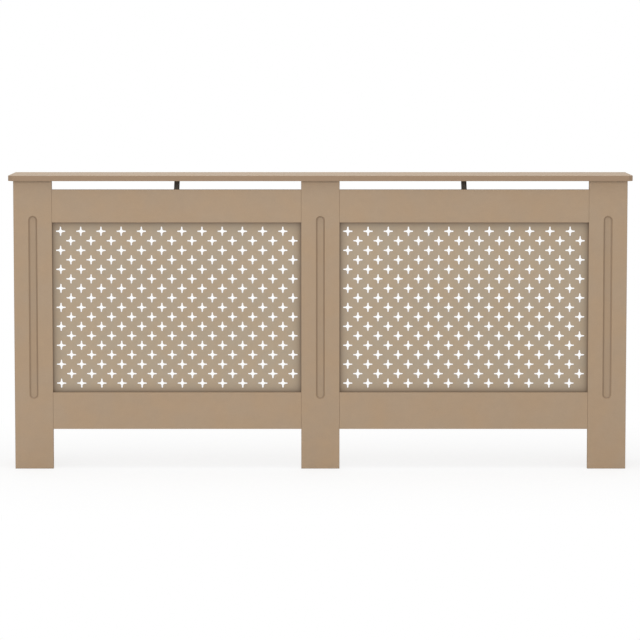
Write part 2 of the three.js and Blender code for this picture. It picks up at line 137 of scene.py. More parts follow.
class Value:
    """A socket that carries a number, so that shader maths reads as arithmetic."""

    def __init__(self, nodes, socket):
        self.nodes = nodes
        self.socket = socket

    def __add__(self, other):
        return self.nodes.maths("ADD", self, other)

    def __sub__(self, other):
        return self.nodes.maths("SUBTRACT", self, other)

    def __rsub__(self, other):
        return self.nodes.maths("SUBTRACT", other, self)

    def __mul__(self, other):
        return self.nodes.maths("MULTIPLY", self, other)

    def __truediv__(self, other):
        return self.nodes.maths("DIVIDE", self, other)

    def __rtruediv__(self, other):
        return self.nodes.maths("DIVIDE", other, self)

    def __pow__(self, other):
        return self.nodes.maths("POWER", self, other)

    def __rpow__(self, other):
        return self.nodes.maths("POWER", other, self)

    def __abs__(self):
        return self.nodes.maths("ABSOLUTE", self)

    __radd__ = __add__
    __rmul__ = __mul__

    def above(self, threshold, softness):
        """0 below the threshold, 1 above it, with a ramp of the given width between."""
        return self.nodes.maths("MULTIPLY", self - threshold, 1 / softness, clamp=True)


class Nodes:
    """The node tree of a material or the world."""

    def __init__(self, owner):
        owner.use_nodes = True
        self.tree = owner.node_tree
        self.tree.nodes.clear()

    def node(self, kind, settings=None, inputs=None):
        """Any node, from its type, its settings and the values or links of its sockets."""
        made = self.tree.nodes.new("ShaderNode" + kind)
        for name, setting in (settings or {}).items():
            setattr(made, name, setting)
        for name, given in (inputs or {}).items():
            socket = made.inputs[name]
            if isinstance(given, Value):
                given = given.socket
            if isinstance(given, bpy.types.NodeSocket):
                self.tree.links.new(given, socket)
            elif socket.type == "RGBA":
                socket.default_value = (*given, 1)
            else:
                socket.default_value = given
        return made

    def value(self, kind, settings=None, inputs=None):
        return Value(self, self.node(kind, settings, inputs).outputs[0])

    def maths(self, operation, *operands, clamp=False):
        settings = {"operation": operation, "use_clamp": clamp}
        return self.value("Math", settings, dict(enumerate(operands)))


class Finish(Nodes):
    """One material, whose patterns lie in the object's own coordinates, in metres."""

    def __init__(self, name):
        self.material = bpy.data.materials.new(name)
        super().__init__(self.material)
        self.place = self.node("TexCoord").outputs["Object"]

    def parts(self, vector):
        """The three numbers of a vector."""
        split = self.node("SeparateXYZ", None, {0: vector})
        return [Value(self, socket) for socket in split.outputs]

    def noise(self, scale, detail, roughness, place=None, distortion=0.0):
        inputs = {"Vector": place or self.place, "Scale": scale, "Detail": detail}
        inputs |= {"Roughness": roughness, "Distortion": distortion}
        return self.value("TexNoise", None, inputs)

    def streaks(self, scales, detail, roughness, turn=(0, 0, 0), distortion=0.0):
        """Noise with a scale of its own along each axis, turned."""
        inputs = {"Vector": self.place, "Scale": scales, "Rotation": turn}
        place = self.node("Mapping", None, inputs).outputs[0]
        return self.noise(1, detail, roughness, place, distortion)

    def blend(self, factor, first, second):
        """Two colours mixed by a number."""
        inputs = {0: factor, 6: first, 7: second}
        return self.node("Mix", {"data_type": "RGBA"}, inputs).outputs[2]

    def toned(self, colour, tone):
        """A colour made lighter or darker by a number."""
        return self.node("VectorMath", {"operation": "SCALE"}, {0: colour, 3: tone}).outputs[0]

    def drifting(self, colour, scale, warm, cool):
        """A colour that drifts from patch to patch between two tints of itself."""
        patch = self.noise(scale, 2, 0.5).above(0.36, 0.28)
        return self.blend(patch, tinted(colour, cool), tinted(colour, warm))

    def bumped(self, height, distance, strength):
        inputs = {"Height": height, "Distance": distance, "Strength": strength}
        return self.node("Bump", None, inputs).outputs[0]

    def surface(self, inputs):
        shader = self.node("BsdfPrincipled", None, inputs)
        self.node("OutputMaterial", None, {"Surface": shader.outputs[0]})
        return self.material


def tinted(colour, gains):
    return tuple(part * gain for part, gain in zip(colour, gains))


def varied(level, *noises):
    """A number that noises move up and down, each by its own share."""
    for noise, share in noises:
        level = level + (noise - 0.5) * share
    return level


# ------------------------------------------------------------------ finishes


def upright_shade(finish):
    """Painted shade: darker on the steep walls and the floor of the flute, and in the corner under
    the shelf.
    """
    _, y, z = finish.parts(finish.place)
    _, normal_y, _ = finish.parts(finish.node("NewGeometry").outputs["Normal"])
    # painted shade: the steeper the wall and the deeper the floor, the darker
    steep = (1 - normal_y ** 2).above(0.01, 0.16)
    sunk = y.above(FRAME_FRONT, FLUTE_DEPTH)
    # painted shade in the corner right under the shelf's overhang
    painted_shade = z.above(SHELF_UNDERSIDE - SHELF_SHADE_REACH, SHELF_SHADE_FADE)
    flute = (1 - steep * FLUTE_WALL_SHADE) * (1 - sunk * FLUTE_FLOOR_SHADE)
    return flute * (1 - painted_shade * SHELF_PAINTED_SHADE)


def mdf_face(name, colour, along, tone=1.0, upright=False):
    """The sanded face of an MDF board: a hard pale skin of pressed fibre, faintly clouded, with
    single darker fibres and the fine scratches of a wide belt sander along the board."""
    finish = Finish(name)
    cloud = finish.noise(7, 2.5, 0.55)
    mottle = finish.noise(46, 4, 0.6)
    fibre = finish.noise(620, 3, 0.65)
    fleck = finish.streaks((900, 900, 900), 2, 0.6, (0.3, 0.7, 0.2)).above(0.66, 0.08)
    scratches = finish.streaks([26 if axis == along else 1500 for axis in range(3)], 2, 0.5)
    shade = varied(tone, (cloud, 0.06), (mottle, 0.11), (fibre, 0.18), (scratches, 0.05))
    # the uprights also get painted shade in the flute and under the shelf
    if upright:
        shade = shade * upright_shade(finish)
    hue = finish.drifting(colour, 11, (1.015, 0.998, 0.975), (0.985, 1.002, 1.03))
    skin = finish.toned(hue, shade)
    height = fibre * 0.6 + scratches * 0.45 + mottle * 0.35
    return finish.surface({
        "Base Color": finish.blend(fleck * 0.5, skin, tinted(colour, (0.62, 0.62, 0.62))),
        "Roughness": varied(0.56, (mottle, 0.16), (fibre, 0.14)),
        "Normal": finish.bumped(height, 0.00012, 0.5),
    })


def mdf_edge(name, colour, thickness, low, high):
    """The cut edge of a board: open fibre, darker and rougher than the face, in fine layers that
    are densest next to the two faces."""
    finish = Finish(name)
    depth = (finish.parts(finish.place)[thickness] - low) / (high - low)
    core = (depth * (1 - depth) * 4).above(0.0, 0.62)
    layers = finish.streaks([1700 if axis == thickness else 34 for axis in range(3)], 3, 0.6)
    fibre = finish.noise(780, 3, 0.7)
    patch = finish.noise(24, 3, 0.55)
    hue = finish.blend(patch, colour, tinted(colour, (0.94, 0.94, 0.94)))
    shade = varied(0.93 + core * 0.05, (layers, 0.13), (fibre, 0.24), (patch, 0.09))
    return finish.surface({
        "Base Color": finish.toned(hue, shade),
        "Roughness": varied(0.74, (fibre, 0.2)),
        "Normal": finish.bumped(fibre * 0.8 + layers * 0.4, 0.0002, 0.6),
        "Specular IOR Level": 0.4,
    })


def grille_face(name, colour, middle, half_width, half_height):
    """The thin pierced board: greyer and smoother than the frame, faintly cloudy, and with painted
    shade in the corner where the frame stands proud of it. The middle is that of the opening on
    the right, on the board's front; the one on the left mirrors it."""
    finish = Finish(name)
    cloud = finish.noise(10, 3, 0.6)
    mottle = finish.noise(80, 3, 0.6)
    fibre = finish.noise(850, 3, 0.7)
    lengthwise = finish.streaks((210, 900, 900), 3, 0.6, (0, 0.5, 0))
    crosswise = finish.streaks((900, 900, 210), 3, 0.6, (0, 0.3, 0))
    strand = (lengthwise + crosswise) * 0.5
    shade = varied(1.0, (cloud, 0.06), (mottle, 0.06), (fibre, 0.14), (strand, 0.14))
    x, y, z = finish.parts(finish.place)
    front = 1 - y.above(middle.y, GRILLE_FRONT_DEPTH)
    # painted shade, fading inwards from the opening's edges
    unshaded = 1.0
    for inward in (half_width - abs(abs(x) - middle.x), half_height - abs(z - middle.z)):
        painted_shade = math.e ** (inward * (-1 / GRILLE_SHADE_REACH))
        unshaded = (1 - GRILLE_SHADE * painted_shade * front) * unshaded
    hue = finish.drifting(colour, 15, (1.02, 0.995, 0.965), (0.98, 1.005, 1.035))
    return finish.surface({
        "Base Color": finish.toned(finish.blend(unshaded, GRILLE_SHADE_COLOUR, hue), shade),
        "Roughness": varied(0.55, (mottle, 0.16), (strand, 0.2)),
        "Normal": finish.bumped(strand * 0.7 + fibre * 0.5, 0.0001, 0.5),
    })


def routed(name, colour):
    """Fibre opened by a cutter: fuzzy and a little darker, as on the stars' inner walls."""
    finish = Finish(name)
    fibre = finish.noise(900, 3, 0.7)
    patch = finish.noise(60, 3, 0.6)
    hue = finish.blend(patch, colour, tinted(colour, (0.9, 0.9, 0.9)))
    return finish.surface({
        "Base Color": finish.toned(hue, varied(0.95, (fibre, 0.24), (patch, 0.12))),
        "Roughness": varied(0.8, (fibre, 0.15)),
        "Normal": finish.bumped(fibre, 0.00015, 0.5),
        "Specular IOR Level": 0.4,
    })


def black_steel():
    """Strap steel under a black satin coat, rubbed through in fine scratches."""
    finish = Finish("black_satin_steel")
    peel = finish.noise(420, 2, 0.5)
    grime = finish.noise(90, 4, 0.6)
    scratches = finish.streaks((60, 1600, 1600), 4, 0.7, (0.2, 0.35, 0.1))
    rubbed = scratches.above(0.68, 0.04) * finish.noise(130, 3, 0.6).above(0.5, 0.1)
    coat = finish.blend(grime, (0.078, 0.073, 0.068), (0.100, 0.094, 0.088))
    return finish.surface({
        "Base Color": finish.blend(rubbed * 0.8, coat, (0.24, 0.23, 0.22)),
        "Metallic": rubbed * 0.8,
        "Roughness": varied(0.4, (grime, 0.3)) - rubbed * 0.1,
        "Normal": finish.bumped(peel * 0.5 - rubbed * 0.5, 0.00008, 0.5),
    })


def zinc():
    """Bright zinc plate with a faint yellow and blue passivation and rubbing marks."""
    finish = Finish("bright_zinc_plate")
    bloom = finish.noise(120, 3, 0.6)
    grain = finish.noise(1300, 2, 0.6)
    marks = finish.streaks((1800, 1800, 140), 3, 0.7, (0.3, 0.2, 0))
    tint = finish.blend(bloom, (0.46, 0.47, 0.49), (0.52, 0.50, 0.45))
    return finish.surface({
        "Base Color": finish.toned(tint, varied(0.96, (grain, 0.14), (marks, 0.1))),
        "Metallic": 1.0,
        "Roughness": varied(0.34, (bloom, 0.22), (marks, 0.2)),
        "Normal": finish.bumped(grain * 0.4 + marks * 0.6, 0.00004, 0.5),
    })


def beech():
    """Turned beech: straight grain along the dowel with short dark flecks."""
    finish = Finish("plain_beech")
    grain = finish.streaks((60, 1400, 1400), 4, 0.6, distortion=0.6)
    fleck = finish.streaks((420, 2400, 2400), 2, 0.5).above(0.64, 0.06)
    wood = finish.blend(grain, (0.62, 0.42, 0.22), (0.48, 0.29, 0.14))
    return finish.surface({
        "Base Color": finish.blend(fleck * 0.6, wood, (0.30, 0.16, 0.08)),
        "Roughness": varied(0.5, (grain, 0.2)),
        "Normal": finish.bumped(grain, 0.0001, 0.5),
    })


# ------------------------------------------------------------------ shaping tools


def made_of(kind, geometry):
    """The vertices, edges or faces among mixed geometry."""
    return [part for part in geometry if isinstance(part, kind)]


def extruded(bm, faces, along):
    """Extrudes faces along a vector and gives back the moved faces. Their edges go with them, or
    a face with neighbours would stay behind inside the solid."""
    edges = list({edge for face in faces for edge in face.edges})
    made = bmesh.ops.extrude_face_region(bm, geom=faces + edges)["geom"]
    bmesh.ops.translate(bm, vec=along, verts=made_of(bmesh.types.BMVert, made))
    return made_of(bmesh.types.BMFace, made)


def face_through(bm, corners):
    return bm.faces.new([bm.verts.new(corner) for corner in corners])


def slab(corners, along):
    """A board: the face through its corners, extruded along a vector."""
    bm = bmesh.new()
    extruded(bm, [face_through(bm, corners)], along)
    bmesh.ops.recalc_face_normals(bm, faces=bm.faces)
    return bm


def rounded(bm, geometry, radius, steps, affect="EDGES"):
    """Rounds edges or corners and gives back the new faces."""
    return bmesh.ops.bevel(
        bm, geom=geometry, offset=radius, offset_type="OFFSET", segments=steps, profile=0.5,
        affect=affect, material=-1, clamp_overlap=True,
    )["faces"]


def eased(bm, radius=ARRIS, steps=ARRIS_STEPS):
    """Rounds every convex edge, as sanding does."""
    convex = [edge for edge in bm.edges if edge.is_manifold and edge.is_convex]
    sharp = [edge for edge in convex if edge.calc_face_angle() > ARRIS_LEAST_ANGLE]
    for face in rounded(bm, sharp, radius, steps):
        face.smooth = True


def opened(bm, face, loops):
    """Opens closed loops of edges in a flat face, and gives back a flat floor inside each."""
    rim = list(face.edges)
    bmesh.ops.delete(bm, geom=[face], context="FACES_ONLY")
    edges = rim + [edge for loop in loops for edge in loop]
    bmesh.ops.triangle_fill(bm, use_beauty=True, edges=edges)
    return [bmesh.ops.edgeloop_fill(bm, edges=loop)["faces"][0] for loop in loops]


def ring(bm, radius, segments, place, turn=0.0):
    """A round loop of vertices and edges in the plane across the place's own Z."""
    place = place @ Matrix.Rotation(turn, 4, "Z")
    made = bmesh.ops.create_circle(bm, radius=radius, segments=segments, matrix=place)
    return made["verts"], list({edge for vert in made["verts"] for edge in vert.link_edges})


def facing(direction, point):
    """The matrix that turns +Z to a direction and carries the origin to a point."""
    turn = UP.rotation_difference(direction).to_matrix().to_4x4()
    return Matrix.Translation(point) @ turn


def edge_painted(bm, axis):
    """Gives the second finish to the faces that a board's thickness shows in."""
    for face in bm.faces:
        face.material_index = 0 if abs(face.normal[axis]) > FACE_NORMAL else 1


def linked(name, data):
    """A new object of the scene, at the origin."""
    made = bpy.data.objects.new(name, data)
    bpy.context.scene.collection.objects.link(made)
    return made


def piece(bm, name, finishes, node):
    """Makes the finished object and hangs it on the model in the place of its node."""
    mesh = bpy.data.meshes.new(name)
    bmesh.ops.remove_doubles(bm, verts=bm.verts, dist=SAME_PLACE)
    bmesh.ops.recalc_face_normals(bm, faces=bm.faces)
    bm.to_mesh(mesh)
    bm.free()
    for finish in finishes:
        mesh.materials.append(finish)
    made = linked(name, mesh)
    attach(made, "root")
    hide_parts(node)


# ------------------------------------------------------------------ front frame

rail_finish = mdf_face("sanded_mdf_rail", FACE_COLOUR, along=0, tone=RAIL_TONE)
stile_finish = mdf_face("sanded_mdf_upright", FACE_COLOUR, 2, STILE_TONE, upright=True)
frame_edge = mdf_edge("cut_mdf_frame", EDGE_COLOUR, 1, FRAME_FRONT, FRAME_BACK)


def flute_profile():
    """Half widths and depths of the flute from its rim inwards: a sanded lip, then a quarter
    ellipse that runs out on the flat floor."""
    outside = FLUTE_WIDTH / 2 + FLUTE_LIP
    profile = []
    for k in range(FLUTE_LIP_STEPS + 1):
        angle = FLUTE_LIP_ANGLE * k / FLUTE_LIP_STEPS
        sideways, down = math.sin(angle), 1 - math.cos(angle)
        profile.append((outside - FLUTE_LIP * sideways, FLUTE_LIP * down))
    rim, rim_depth = profile[-1]
    for k in range(1, FLUTE_STEPS + 1):
        angle = FLUTE_START + (math.pi / 2 - FLUTE_START) * k / FLUTE_STEPS
        out = math.cos(angle) / math.cos(FLUTE_START)
        sunk = (math.sin(angle) - math.sin(FLUTE_START)) / (1 - math.sin(FLUTE_START))
        half = FLUTE_FLOOR + (rim - FLUTE_FLOOR) * out
        profile.append((half, rim_depth + (FLUTE_DEPTH - rim_depth) * sunk))
    return profile


def fluted(bm, centre):
    """Sinks the stopped flute in an upright's face, inset step by step to its deepest line."""
    profile = flute_profile()
    half = FLUTE_WIDTH / 2
    low, high = OPENING_BOTTOM - FLUTE_OVERRUN, OPENING_TOP + FLUTE_OVERRUN
    front = min(bm.faces, key=lambda face: face.normal.y * face.calc_area())
    place = facing(-BACK, (centre, FRAME_FRONT, low + half))
    half_segment = math.pi / FLUTE_SEGMENTS
    verts, loop = ring(bm, half + FLUTE_LIP, FLUTE_SEGMENTS, place, half_segment)
    upper = [vert for vert in verts if vert.co.z > low + half]
    bmesh.ops.translate(bm, vec=UP * (high - low - 2 * half), verts=upper)
    [floor] = opened(bm, front, [loop])
    if floor.normal.y > 0:
        floor.normal_flip()
    for (outer, above), (inner, below) in zip(profile, profile[1:]):
        made = bmesh.ops.inset_region(
            bm, faces=[floor], thickness=outer - inner, depth=above - below,
            use_boundary=True, use_even_offset=True,
        )
        for face in made["faces"]:
            face.smooth = True
    floor.smooth = True


def rebate_corners(edge, inwards):
    """The rebate in an upright's edge, anticlockwise as seen from the front."""
    low, high = OPENING_BOTTOM - REBATE_WIDTH, OPENING_TOP + REBATE_WIDTH
    inner = edge + inwards * REBATE_WIDTH
    corners = [(edge, low), (inner, low), (inner, high), (edge, high)]
    return corners if inwards < 0 else corners[::-1]


def upright(node, bay_on_left, bay_on_right):
    """A stile: full thickness in front, and behind that a rebate along each bay for the grille."""
    low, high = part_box(node)
    high.z += JOINT
    step = high.y - REBATE_DEPTH
    right_rebate = rebate_corners(high.x, -1) if bay_on_right else []
    left_rebate = rebate_corners(low.x, 1) if bay_on_left else []
    outline = [(low.x, low.z), (high.x, low.z), *right_rebate]
    outline += [(high.x, high.z), (low.x, high.z), *left_rebate]
    bm = bmesh.new()
    verts = {corner: bm.verts.new((corner[0], step, corner[1])) for corner in outline}
    back = bm.faces.new(verts.values())
    rebates = [corners for corners in (right_rebate, left_rebate) if corners]
    ledges = [bm.faces.new([verts[corner] for corner in corners]) for corners in rebates]
    extruded(bm, [back, *ledges], BACK * (low.y - step))
    extruded(bm, [back], BACK * REBATE_DEPTH)
    bmesh.ops.recalc_face_normals(bm, faces=bm.faces)
    bmesh.ops.dissolve_limit(bm, angle_limit=FLAT_ANGLE, verts=bm.verts, edges=bm.edges)
    eased(bm)
    fluted(bm, (low.x + high.x) / 2)
    bmesh.ops.recalc_face_normals(bm, faces=bm.faces)
    edge_painted(bm, 1)
    piece(bm, f"{node}_board", [stile_finish, frame_edge], node)


def rail(node, opening_above):
    """A rail with a rebate along the edge that faces the opening."""
    low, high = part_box(node)
    low.x, high.x = low.x - JOINT, high.x + JOINT
    step = high.y - REBATE_DEPTH
    if opening_above:
        far, near, ledge = low.z, high.z, high.z - REBATE_WIDTH
    else:
        far, near, ledge = high.z, low.z, low.z + REBATE_WIDTH
    section = [(low.y, far), (high.y, far), (high.y, ledge)]
    section += [(step, ledge), (step, near), (low.y, near)]
    bm = slab([(low.x, y, z) for y, z in section], RIGHT * (high.x - low.x))
    eased(bm)
    edge_painted(bm, 1)
    piece(bm, f"{node}_board", [rail_finish, frame_edge], node)


upright("left_stile", bay_on_left=False, bay_on_right=True)
upright("centre_stile", bay_on_left=True, bay_on_right=True)
upright("right_stile", bay_on_left=True, bay_on_right=False)
for side, _ in SIDES:
    rail(f"{side}_bottom_rail", opening_above=True)
    rail(f"{side}_top_rail", opening_above=False)

# ------------------------------------------------------------------ grilles

bay_low, bay_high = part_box("right_grille")
grille_finish = grille_face(
    "pierced_board", GRILLE_COLOUR,
    middle=Vector(((bay_low.x + bay_high.x) / 2, bay_low.y, OPENING_MIDDLE)),
    half_width=(bay_high.x - bay_low.x) / 2 - REBATE_WIDTH,
    half_height=(OPENING_TOP - OPENING_BOTTOM) / 2,
)
star_wall = routed("routed_star_wall", STAR_WALL_COLOUR)


def star_loop(bm, level):
    """One four-armed star: a cross with tapering arms, rounded at the tips and in the corners."""
    corners = []
    for quarter in range(4):
        turn = Matrix.Rotation(quarter * math.pi / 2, 3, "Y")
        for x, z in ((STAR_REACH, STAR_TIP), (STAR_REACH, -STAR_TIP), (STAR_WAIST, -STAR_WAIST)):
            corners.append(turn @ Vector((x, 0, z)) + BACK * level)
    verts = list(face_through(bm, corners).verts)
    waist = verts[2::3]
    tips = [vert for vert in verts if vert not in waist]
    rounded(bm, waist, STAR_WAIST_ROUNDING, STAR_WAIST_STEPS, "VERTICES")
    rounded(bm, tips, STAR_TIP_ROUNDING, STAR_TIP_STEPS, "VERTICES")
    [star] = bm.faces
    edges = list(star.edges)
    bmesh.ops.delete(bm, geom=[star], context="FACES_ONLY")
    return edges


def star_centres():
    """Rows from the top down, each half a pitch off the one above it."""
    for row in range(STAR_ROWS):
        stagger = STAR_PITCH_X / 4 * (-1 if row % 2 == 0 else 1)
        for column in range(STARS_PER_ROW):
            x = (column - (STARS_PER_ROW - 1) / 2) * STAR_PITCH_X + stagger
            yield x, ((STAR_ROWS - 1) / 2 - row) * STAR_PITCH_Z


def grille(node):
    """A sheet pierced by every star: its outline and theirs are filled and given thickness."""
    low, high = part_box(node)
    middle = (low.x + high.x) / 2
    bm = bmesh.new()
    star = star_loop(bm, low.y)
    star_verts = list({vert for edge in star for vert in edge.verts})
    edges = []
    for x, z in star_centres():
        copy = bmesh.ops.duplicate(bm, geom=star_verts + star)["geom"]
        verts = made_of(bmesh.types.BMVert, copy)
        bmesh.ops.translate(bm, vec=(middle + x, 0, OPENING_MIDDLE + z), verts=verts)
        edges += made_of(bmesh.types.BMEdge, copy)
    bmesh.ops.delete(bm, geom=star_verts, context="VERTS")
    corners = [(low.x, low.z), (high.x, low.z), (high.x, high.z), (low.x, high.z)]
    sheet = face_through(bm, [(x, low.y, z) for x, z in corners])
    edges += list(sheet.edges)
    bmesh.ops.delete(bm, geom=[sheet], context="FACES_ONLY")
    bmesh.ops.triangle_fill(bm, use_beauty=True, edges=edges)
    extruded(bm, bm.faces[:], BACK * (high.y - low.y))
    bmesh.ops.recalc_face_normals(bm, faces=bm.faces)
    edge_painted(bm, 1)
    piece(bm, f"{node}_panel", [grille_finish, star_wall], node)


for side, _ in SIDES:
    grille(f"{side}_grille")

# ------------------------------------------------------------------ shelf and ends

shelf_face = mdf_face("sanded_mdf_shelf", SHELF_COLOUR, along=0)
shelf_edge = mdf_edge("cut_mdf_shelf", SHELF_EDGE_COLOUR, 2, SHELF_UNDERSIDE, SHELF_TOP)


def shelf():
    """The top board, with its two front corners clipped."""
    low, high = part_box("top_board")
    front, left, right = low.y + CORNER_CLIP, low.x + CORNER_CLIP, high.x - CORNER_CLIP
    outline = [(low.x, high.y), (low.x, front), (left, low.y)]
    outline += [(right, low.y), (high.x, front), (high.x, high.y)]
    bm = slab([(x, y, low.z) for x, y in outline], UP * (high.z - low.z))
    upright_edges = [e for e in bm.edges if abs((e.verts[0].co - e.verts[1].co).z) > MM]
    rounded(bm, upright_edges, CORNER_ROUNDING, 2)
    eased(bm)
    edge_painted(bm, 2)
    piece(bm, "top_board_shelf", [shelf_face, shelf_edge], "top_board")


def side_panel(side, outwards):
    """An end of the cover, with its notch over the skirting and the pockets of its cams."""
    node = f"{side}_side_panel"
    low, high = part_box(node)
    low.y, high.z = low.y - JOINT, high.z + JOINT
    inner = low.x if outwards > 0 else high.x
    notch, notch_top = high.y - SKIRTING_DEPTH, low.z + SKIRTING_HEIGHT
    outline = [(low.y, low.z), (notch, low.z), (notch, notch_top)]
    outline += [(high.y, notch_top), (high.y, high.z), (low.y, high.z)]
    bm = slab([(inner, y, z) for y, z in outline], RIGHT * outwards * (high.x - low.x))
    eased(bm)
    face = max(bm.faces, key=lambda face: -face.normal.x * outwards * face.calc_area())
    loops = []
    for cam in CAMS:
        cam_low, cam_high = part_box(f"{side}_{cam}")
        middle = (cam_low + cam_high) / 2
        middle.x = inner
        loops.append(ring(bm, POCKET_RADIUS, CAM_SEGMENTS, facing(RIGHT, middle))[1])
    pocket_depth = cam_high.x - cam_low.x
    for floor in opened(bm, face, loops):
        extruded(bm, [floor], RIGHT * outwards * pocket_depth)
    bmesh.ops.recalc_face_normals(bm, faces=bm.faces)
    edge_painted(bm, 0)
    face_finish = mdf_face(f"sanded_mdf_{side}_end", FACE_COLOUR, along=2)
    edge_finish = mdf_edge(f"cut_mdf_{side}_end", EDGE_COLOUR, 0, low.x, high.x)
    piece(bm, f"{node}_board", [face_finish, edge_finish], node)


shelf()
for side, outwards in SIDES:
    side_panel(side, outwards)

# ------------------------------------------------------------------ fittings

zinc_finish = zinc()
black_finish = black_steel()


def cross_sunk(bm, rim, reach, level, depth):
    """Closes a round rim with a flat face, and sinks a tapering driver cross in it."""
    arm = reach * CROSS_ARM
    corners = []
    for quarter in range(4):
        turn = Matrix.Rotation(quarter * math.pi / 2, 3, "Z")
        for x, y in ((reach, -arm), (reach, arm), (arm, arm)):
            corners.append(turn @ Vector((x, y, level)))
    cross = face_through(bm, corners)
    loop = list(cross.edges)
    bmesh.ops.delete(bm, geom=[cross], context="FACES_ONLY")
    bmesh.ops.triangle_fill(bm, use_beauty=True, edges=rim + loop)
    floor = bmesh.ops.edgeloop_fill(bm, edges=loop)["faces"][0]
    [floor] = extruded(bm, [floor], (0, 0, -depth))
    bmesh.ops.scale(
        bm, vec=(CROSS_TAPER, CROSS_TAPER, 1), verts=list(floor.verts),
        space=Matrix.Translation((0, 0, depth - level)),
    )


def turned(profile, steps):
    """A solid of revolution about Z, from radii and heights, left open at its first ring."""
    bm = bmesh.new()
    verts = [bm.verts.new((radius, 0, height)) for radius, height in profile]
    edges = [bm.edges.new(pair) for pair in zip(verts, verts[1:])]
    bmesh.ops.spin(
        bm, geom=verts + edges, cent=(0, 0, 0), axis=UP, angle=2 * math.pi, steps=steps,
        use_merge=True,
    )
    bmesh.ops.remove_doubles(bm, verts=bm.verts, dist=SAME_PLACE)
    return bm, [edge for edge in bm.edges if edge.is_boundary]


def sharpened(bm):
    """Smooth shading over small facets that meet gently, and flat shading on the planes."""
    for edge in bm.edges:
        if edge.is_manifold:
            edge.smooth = edge.calc_face_angle() < SHARP_ANGLE
    for face in bm.faces:
        face.smooth = face.calc_area() < LARGEST_CURVED_FACE


def fitting(bm, name, place, finish, node):
    """Carries a fitting made at the origin to its place, and makes it a piece."""
    sharpened(bm)
    bmesh.ops.transform(bm, matrix=place, verts=bm.verts)
    piece(bm, name, [finish], node)


def cam(side, name, outwards):
    """A cam disc, flush in its pocket."""
    node = f"{side}_{name}"
    low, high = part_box(node)
    deep = high.x - low.x
    middle = (low + high) / 2
    middle.x = low.x if outwards > 0 else high.x
    profile = [(CAM_RADIUS - CAM_CHAMFER, 0), (CAM_RADIUS, -CAM_CHAMFER)]
    profile += [(CAM_RADIUS, -deep), (0, -deep)]
    bm, rim = turned(profile, CAM_SEGMENTS)
    cross_sunk(bm, rim, CAM_CROSS_REACH, 0, CAM_CROSS_DEPTH)
    place = facing(-RIGHT * outwards, middle)
    fitting(bm, f"{node}_disc", place, zinc_finish, node)


def screw(node, outwards, finish):
    """A pan-head screw in its hole, its head towards the given way."""
    low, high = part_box(node)
    axis = max(range(3), key=lambda i: abs(outwards[i]))
    seat = (low + high) / 2
    top = high[axis] if outwards[axis] > 0 else low[axis]
    seat[axis] = top - outwards[axis] * SCREW_HEAD
    tip = SCREW_HEAD - (high[axis] - low[axis])
    profile = [(radius * MM, height * MM) for radius, height in SCREW_HEAD_PROFILE]
    profile += [(SCREW_SHANK, 0), (SCREW_SHANK, tip + SCREW_POINT), (0, tip)]
    bm, rim = turned(profile, SCREW_SEGMENTS)
    cross_sunk(bm, rim, SCREW_CROSS_REACH, SCREW_HEAD, SCREW_CROSS_DEPTH)
    fitting(bm, f"{node}_turned", facing(outwards, seat), finish, node)


def folded(bm, folds, along, across):
    """Folds a flat blank. Each fold is (start, angle, radius) along the blank, nearest first."""
    cuts = []
    for start, angle, radius in folds:
        arc = radius * abs(angle)
        for k in range(BEND_STEPS):
            cuts.append((start + arc * k / BEND_STEPS, angle / BEND_STEPS))
    for distance, _ in cuts:
        geometry = bm.verts[:] + bm.edges[:] + bm.faces[:]
        bmesh.ops.bisect_plane(
            bm, geom=geometry, plane_co=along * distance, plane_no=along, dist=SAME_PLACE,
        )
    flat = {vert: vert.co.dot(along) for vert in bm.verts}
    for distance, angle in reversed(cuts):
        beyond = [vert for vert, reach in flat.items() if reach > distance + SAME_PLACE]
        turn = Matrix.Rotation(angle, 3, across)
        bmesh.ops.rotate(bm, cent=along * distance, matrix=turn, verts=beyond)


def blank(corners, rounding, holes=()):
    """A flat steel blank with rounded corners and round holes, in the XZ plane about Y = 0."""
    bm = bmesh.new()
    front = -PLATE / 2
    face = face_through(bm, [(x, front, z) for x, z in corners])
    rounded(bm, list(face.verts), rounding, PLATE_CORNER_STEPS, "VERTICES")
    places = [facing(BACK, (x, front, z)) for x, z in holes]
    loops = [ring(bm, BRACKET_HOLE, BRACKET_HOLE_SEGMENTS, place)[1] for place in places]
    if loops:
        [face] = bm.faces
        floors = opened(bm, face, loops)
        bmesh.ops.delete(bm, geom=floors, context="FACES_ONLY")
    extruded(bm, bm.faces[:], BACK * PLATE)
    bmesh.ops.recalc_face_normals(bm, faces=bm.faces)
    bmesh.ops.dissolve_limit(bm, angle_limit=FLAT_ANGLE, verts=bm.verts, edges=bm.edges)
    eased(bm, PLATE_ARRIS, 2)
    return bm


def brace(side):
    """The bent strap that carries the shelf's middle on the top rail."""
    node = f"{side}_brace"
    low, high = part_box(node)
    half = (high.x - low.x) / 2
    rise = (high.z - PLATE / 2) - (low.z + STRAP_FOOT)
    slope = rise / math.cos(STRAP_LEAN)
    turn_back = math.pi / 2 - STRAP_LEAN
    lower = STRAP_BEND * math.tan(STRAP_LEAN / 2)  # what each bend takes off the flats beside it
    upper = STRAP_BEND * math.tan(turn_back / 2)
    first = STRAP_FOOT - lower
    second = first + STRAP_BEND * STRAP_LEAN + slope - lower - upper
    length = second + STRAP_BEND * turn_back + STRAP_HEAD - upper
    bm = blank([(-half, 0), (half, 0), (half, length), (-half, length)], STRAP_CORNER)
    folds = [(first, -STRAP_LEAN, STRAP_BEND), (second, -turn_back, STRAP_BEND)]
    folded(bm, folds, UP, "X")
    place = Matrix.Translation(((low.x + high.x) / 2, low.y + PLATE / 2, low.z))
    fitting(bm, f"{node}_strap", place, black_finish, node)
    screw(f"{node}_rail_screw", BACK, black_finish)
    screw(f"{node}_board_screw", -UP, black_finish)


